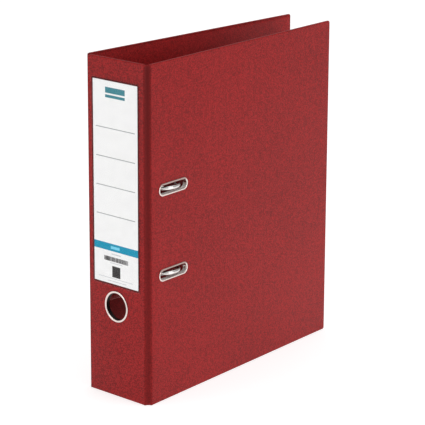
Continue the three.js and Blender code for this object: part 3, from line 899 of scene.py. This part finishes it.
class FILE_OT_eyelets(bpy.types.Operator):
    """Nickel eyelets of the two slots in the front cover"""
    bl_idname = "file.eyelets"
    bl_label = "Slot Eyelets"

    def execute(self, context):
        link = links["front"]
        for level in ("upper", "lower"):
            node = f"slot_eyelet_{level}"
            low, high = link.local_box(node)
            flange, collar = 1.6 * MM, 0.5 * MM
            cx, cz = (low.x + high.x) / 2, (low.z + high.z) / 2
            length, height = high.x - low.x - 2 * flange, high.z - low.z - 2 * flange

            def outline_of(grow, cx=cx, cz=cz, length=length, height=height):
                return stadium(cx, cz, length + 2 * grow, height + 2 * grow, 12)

            eyelet = rolled_rim(f"{node}_rim", link, node, outline_of, flange, collar)
            finish_piece(eyelet, "front_cover", materials["rim"], "nickel", node)
            # Painted light and shade materials, picked face by face below.
            for name in ("lit_collar", "shaded_rim", "sleeve"):
                eyelet.data.materials.append(materials[name])
            for face in eyelet.data.polygons:
                depth = (face.center - link.origin).dot(link.inward) - low.y
                face.material_index = self.finish_of(face, depth, cz)
            backing = refined(f"slot_backing_{level}")
            finish_piece(backing, "front_cover", materials["nickel"], "nickel", f"slot_backing_{level}")
        return {"FINISHED"}

    def finish_of(self, face, depth, middle):
        """Picks each face's finish: the bright rim, a paler painted-light floor of the collar, a darker
        painted-shade rim and a nearly black painted-shade roof along the upper run.
        """
        above = face.center.z > middle + 3.5 * MM
        if depth > 0.9 * MM:
            return 1 if face.normal.z > 0.4 else 3 if above else 0
        return 2 if above else 0


class FILE_OT_finger_ring(bpy.types.Operator):
    """Nickel ring of the finger hole and its backing"""
    bl_idname = "file.finger_ring"
    bl_label = "Finger Ring"

    def execute(self, context):
        link = links["spine"]
        low, high = link.local_box("finger_ring")
        flange, collar = 2.0 * MM, 0.5 * MM
        cx, cz, bore = (low.x + high.x) / 2, (low.z + high.z) / 2, high.x - low.x - 2 * flange

        def outline_of(grow):
            return stadium(cx, cz, bore + 2 * grow, bore + 2 * grow, 24)

        ring = rolled_rim("finger_ring_rim", link, "finger_ring", outline_of, flange, collar)
        finish_piece(ring, "spine", materials["rim"], "nickel", "finger_ring")
        ring.data.materials.append(materials["sleeve"])
        # Painted shade: the collar deeper than 1 mm gets the nearly black shaded nickel.
        for face in ring.data.polygons:
            depth = (face.center - link.origin).dot(link.inward) - low.y
            face.material_index = int(depth > 1.0 * MM)
        backing = refined("finger_ring_backing")
        finish_piece(backing, "spine", materials["nickel"], "nickel", "finger_ring_backing")
        return {"FINISHED"}


class FILE_OT_label(bpy.types.Operator):
    """Clear pocket, label card and its generic print"""
    bl_idname = "file.label"
    bl_label = "Spine Label"

    def execute(self, context):
        self.link = links["spine"]
        self.low, self.high = self.link.local_box("spine_label")
        self.pocket()
        size = self.high - self.low
        card = self.sheet("label_card", 0, 0, size.x, size.z, 0.4 * MM, size.y, 0.0)
        finish_piece(card, "label", materials["card"], "label_paper", "spine_label")
        self.prints(context.scene.file_label)
        return {"FINISHED"}

    def sheet(self, name, across, down, width, height, radius, thickness, lift):
        """A flat block whose top edge lies down from the label's top, centred across it."""
        middle = (self.low.x + self.high.x) / 2 + across
        top = self.high.z - down
        face = self.low.y - lift
        rings = []
        for depth in (face, face + thickness):
            outline = rounded_rectangle(middle - width / 2, middle + width / 2, top - height, top, radius, 4)
            rings.append([self.link.place(x, depth, z) for x, z in outline])
        return mesh_object(name, *loft(rings), smooth=30)

    def pocket(self):
        """A clear film window, and the weld line that holds it round the card, in dark film that is partly
        painted shade.
        """
        pocket = refined("label_pocket", "label_pocket_film", 0.08 * MM)
        finish_piece(pocket, "spine", materials["clear"], "clear_film", "label_pocket")
        face = self.link.local_box("label_pocket")[0].y
        gap, width = 0.30 * MM, 1.05 * MM
        profile = [(gap, face + 0.1 * MM), (gap, face - 0.02 * MM), (gap + 0.3 * width, face - 0.08 * MM),
                   (gap + 0.7 * width, face - 0.08 * MM), (gap + width, face - 0.02 * MM),
                   (gap + width, face + 0.1 * MM)]
        rings = []
        for grow, depth in profile:
            outline = rounded_rectangle(self.low.x - grow, self.high.x + grow, self.low.z - grow,
                                        self.high.z + grow, 0.4 * MM + grow, 4)
            rings.append([self.link.place(x, depth, z) for x, z in outline])
        weld = mesh_object("label_pocket_weld", *loft(rings, closed=True), smooth=50)
        # Darkened weld film: a real weld line, partly painted shade.
        finish_piece(weld, "spine", materials["weld"], "clear_film")

    def prints(self, settings):
        """Blocks of ink, each (across from the middle, down from the top, width, height) in millimetres."""
        ink, lift, corner = 0.03 * MM, 0.02 * MM, 0.2 * MM
        width = self.high.x - self.low.x
        blocks = {
            "ink_mark": [(0, 5.8, 25.0, 5.4), (0, 12.8, 25.0, 2.6)],
            "ink_band": [(0, 151.0, width / MM, 6.9)],
            "ink_grey": [(0, 43.0 + 27.0 * i, 49.6, 0.7) for i in range(settings.rules)],
            "ink_dark": [(0, 171.9, 10.4, 10.6)],
            "ink_sky": [(-1.2, 153.2, 11.5, 2.6)],
            "ink_pale": [(0, 160.2, 12.0, 0.9), (0, 168.9, 16.0, 0.6), (-1.0, 183.6, 44.0, 0.5),
                         (1.0, 186.2, 24.0, 0.5)],
        }
        for name, rows in blocks.items():
            raised = 2 * lift if name == "ink_sky" else lift
            shapes = [self.sheet(f"{name}_{i}", x * MM, y * MM, w * MM, h * MM, corner, ink, raised)
                      for i, (x, y, w, h) in enumerate(rows)]
            finish_piece(joined(f"label_{name}", shapes), "label", materials[name], "label_paper")
        self.bars(settings, ink, lift)

    def bars(self, settings, ink, lift):
        """The stock mark: upright bars of varied width, repeated along the label."""
        span, height, down = 31.0 * MM, 4.2 * MM, 163.5 * MM
        pitch = span / settings.bars
        along, inward = self.link.along, self.link.inward
        face = self.low.y - lift
        shape = []
        for depth in (0, ink):
            ring = [along * (x * pitch) + inward * depth + Vector((0, 0, z * height))
                    for x, z in ((-0.5, 0), (0.5, 0), (0.5, 1), (-0.5, 1))]
            shape.append(ring)
        bar = mesh_object("bar", *loft(shape))
        tree = bars_tree(materials["ink_dark"])
        bars = run_tree(bar, tree, "label_bars", Count=settings.bars, Spacing=tuple(along * pitch),
                        Narrow=0.45, Wide=0.98, Seed=11)
        middle = (self.low.x + self.high.x) / 2
        corner = self.link.place(middle - span / 2 + pitch / 2, face, self.high.z - down - height)
        bars.data.transform(Matrix.Translation(corner))
        finish_piece(bars, "label", materials["ink_dark"], "label_paper")


def joined(name, objects):
    """Several separate closed shapes as one piece."""
    shell = bmesh.new()
    for obj in objects:
        shell.from_mesh(obj.data)
        bpy.data.objects.remove(obj)
    mesh = bpy.data.meshes.new(name)
    shell.to_mesh(mesh)
    shell.free()
    result = bpy.data.objects.new(name, mesh)
    bpy.context.scene.collection.objects.link(result)
    return result


def filleted(corners, steps=8):
    """Points of a path whose corners are rounded: corners holds (point, bend radius)."""
    points = [corners[0][0]]
    for (before, _), (corner, bend), (after, _) in zip(corners, corners[1:], corners[2:]):
        into, out = (corner - before).normalized(), (after - corner).normalized()
        start, end = corner - into * bend, corner + out * bend
        centre = start + end - corner
        for i in range(steps + 1):
            angle = QUARTER * i / steps
            points.append(centre + (start - centre) * math.cos(angle) + (end - centre) * math.sin(angle))
    points.append(corners[-1][0])
    return points


class FILE_OT_arch_wire(bpy.types.Operator):
    """The bent wire with both arches, their shaft and the crank"""
    bl_idname = "file.arch_wire"
    bl_label = "Arch Wire"

    def execute(self, context):
        low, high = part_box("arch_wire")
        shaft = joint_place("arches")
        radius = shaft.x - low.x
        far, top = high.y - radius, high.x - radius
        post_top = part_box("post_upper")[1].x
        roller = joint_place("roller")
        crank, reach = 5 * MM, 12 * MM
        arch_bend, shaft_bend, crank_bend = 12 * MM, 5 * MM, 3.5 * MM
        upper, lower = high.z - radius, low.z + radius
        tip = post_top + 0.4 * MM
        corners = [
            ((tip, far, upper), 0), ((top, far, upper), arch_bend), ((top, shaft.y, upper), arch_bend),
            ((shaft.x, shaft.y, upper), shaft_bend), ((shaft.x, shaft.y, roller.z + crank), crank_bend),
            ((shaft.x, shaft.y + reach, roller.z + crank), crank_bend),
            ((shaft.x, shaft.y + reach, roller.z - crank), crank_bend),
            ((shaft.x, shaft.y, roller.z - crank), crank_bend), ((shaft.x, shaft.y, lower), shaft_bend),
            ((top, shaft.y, lower), arch_bend), ((top, far, lower), arch_bend), ((tip, far, lower), 0),
        ]
        points = self.tips(filleted([(Vector(p), bend) for p, bend in corners], 10))
        curve = bpy.data.curves.new("wire_path", "CURVE")
        curve.dimensions = "3D"
        line = curve.splines.new("POLY")
        line.points.add(len(points) - 1)
        for place, (point, width) in zip(line.points, points):
            place.co = (*point, 1)
            place.radius = width
        path = bpy.data.objects.new("wire_path", curve)
        context.scene.collection.objects.link(path)
        values = {"Wire radius": radius, "Sides": context.scene.file_metal.wire_sides}
        wire = run_tree(path, wire_tree(materials["nickel"]), "arch_wire_bent", 40, **values)
        finish_piece(wire, "arches", materials["nickel"], "nickel", "arch_wire")
        return {"FINISHED"}

    def tips(self, points):
        """Each end narrows to a rounded tip: (distance from the end, share of the full radius)."""
        shape = ((0.0, 0.45), (0.25 * MM, 0.62), (0.8 * MM, 0.78), (2.2 * MM, 0.93), (4.0 * MM, 1.0))
        first, last = points[0], points[-1]
        start = [(first + (points[1] - first).normalized() * d, w) for d, w in shape]
        end = [(last + (points[-2] - last).normalized() * d, w) for d, w in reversed(shape)]
        return start + [(p, 1.0) for p in points[1:-1]] + end


class FILE_OT_posts(bpy.types.Operator):
    """The two tubular posts and the plate's four rivets"""
    bl_idname = "file.posts"
    bl_label = "Posts and Rivets"

    def execute(self, context):
        outward = Vector((1, 0, 0))
        for level in ("upper", "lower"):
            low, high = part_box(f"post_{level}")
            radius, bore, bore_depth, flange = 2.0 * MM, 1.05 * MM, 6 * MM, 0.9 * MM
            foot, top = low.x, high.x
            seat = (high.y - low.y) / 2
            profile = [(0, foot), (seat, foot), (seat, foot + 0.6 * MM), (seat - 0.3 * MM, foot + flange),
                       (radius + 0.5 * MM, foot + flange), (radius, foot + 1.5 * MM),
                       (radius, top - 1.6 * MM), (radius - 0.12 * MM, top - 1.1 * MM),
                       (radius - 0.45 * MM, top - 0.1 * MM), (radius - 0.6 * MM, top),
                       (bore + 0.1 * MM, top), (bore, top - 0.2 * MM), (bore, top - bore_depth),
                       (0, top - bore_depth)]
            place = Vector((0, (low.y + high.y) / 2, (low.z + high.z) / 2))
            post = turned(f"post_{level}_tube", profile, place, outward, 40)
            finish_piece(post, "back_cover", materials["nickel"], "nickel", f"post_{level}")
        self.rivets(context)
        return {"FINISHED"}

    def rivets(self, context):
        names = [f"base_rivet_{i}" for i in (1, 2, 3, 4)]
        low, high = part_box(names[0])
        head, tail, shank, gap = (high.y - low.y) / 2, 3.2 * MM, 1.6 * MM, 0.02 * MM
        cover = links["back"].local_box("back_film")[0].y + links["back"].origin.x
        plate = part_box("base_plate")[0].x + 0.95 * MM
        profile = [(0, low.x), (0.55 * head, low.x + 0.05 * MM), (0.85 * head, low.x + 0.28 * MM),
                   (head, cover - 0.12 * MM), (head, cover - gap), (shank, cover - gap),
                   (shank, plate + 0.1 * MM), (tail, plate + 0.1 * MM), (tail, plate + 0.25 * MM),
                   (0.8 * tail, high.x - 0.12 * MM), (0.3 * tail, high.x), (0, high.x - 0.15 * MM)]
        rivet = turned("rivet", profile, Vector((0, 0, 0)), Vector((1, 0, 0)), 32)
        places = []
        for name in names:
            a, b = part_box(name)
            places.append((0, (a.y + b.y) / 2, (a.z + b.z) / 2))
        mesh = bpy.data.meshes.new("rivet_places")
        mesh.from_pydata(places, [], [])
        spots = bpy.data.objects.new("rivet_places", mesh)
        context.scene.collection.objects.link(spots)
        tree = copies_tree("rivet_copies", materials["nickel"])
        rivets = run_tree(rivet, tree, "base_rivets", 35, Places=spots)
        bpy.data.objects.remove(spots)
        finish_piece(rivets, "back_cover", materials["nickel"], "nickel", *names)


class FILE_OT_mechanism(bpy.types.Operator):
    """Base plate, lever, pins, roller, spring and compressor bar"""
    bl_idname = "file.mechanism"
    bl_label = "Mechanism"

    moulded_edge = 0.5 * MM
    pieces = (
        ("base_plate", "back_cover", "nickel", "nickel"),
        ("pivot_pin", "back_cover", "nickel", "nickel"),
        ("arch_spring", "back_cover", "steel", "spring_steel"),
        ("lever_arm", "lever", "nickel", "nickel"),
        ("roller_pin", "lever", "nickel", "nickel"),
        ("lever_grip", "lever", "black", "black_plastic"),
        ("lever_roller", "roller", "steel", "spring_steel"),
        ("compressor_bar", "compressor", "nickel", "nickel"),
        ("compressor_grip", "compressor", "black", "black_plastic"),
    )

    def execute(self, context):
        for node, body, material, slot in self.pieces:
            bevel = self.moulded_edge if material == "black" else None
            finish_piece(refined(node, bevel=bevel), body, materials[material], slot, node)
        return {"FINISHED"}


class FILE_PT_panel(bpy.types.Panel):
    """Settings and steps of the lever arch file"""
    bl_idname = "FILE_PT_panel"
    bl_label = "Lever Arch File"
    bl_space_type = "VIEW_3D"
    bl_region_type = "UI"
    bl_category = "File"

    def draw(self, context):
        for group in (context.scene.file_case, context.scene.file_label, context.scene.file_metal,
                      context.scene.file_stage):
            box = self.layout.box()
            for name in group.bl_rna.properties.keys():
                if name not in {"rna_type", "name"}:
                    box.prop(group, name)
        for operator in operators:
            self.layout.operator(operator.bl_idname)


settings_groups = {
    "file_case": FILE_PG_case,
    "file_label": FILE_PG_label,
    "file_metal": FILE_PG_metal,
    "file_stage": FILE_PG_stage,
}
operators = (FILE_OT_stage, FILE_OT_panels, FILE_OT_hinges, FILE_OT_eyelets, FILE_OT_finger_ring,
             FILE_OT_label, FILE_OT_arch_wire, FILE_OT_posts, FILE_OT_mechanism)
materials = {}


def register():
    for cls in (*settings_groups.values(), *operators, FILE_PT_panel):
        bpy.utils.register_class(cls)
    for name, group in settings_groups.items():
        setattr(bpy.types.Scene, name, bpy.props.PointerProperty(type=group))


def unregister():
    for name in settings_groups:
        delattr(bpy.types.Scene, name)
    for cls in reversed((*settings_groups.values(), *operators, FILE_PT_panel)):
        bpy.utils.unregister_class(cls)


def main():
    register()
    materials.update(make_materials())
    for operator in operators:
        group, name = operator.bl_idname.split(".")
        getattr(getattr(bpy.ops, group), name)()


if __name__ == "__main__":
    main()
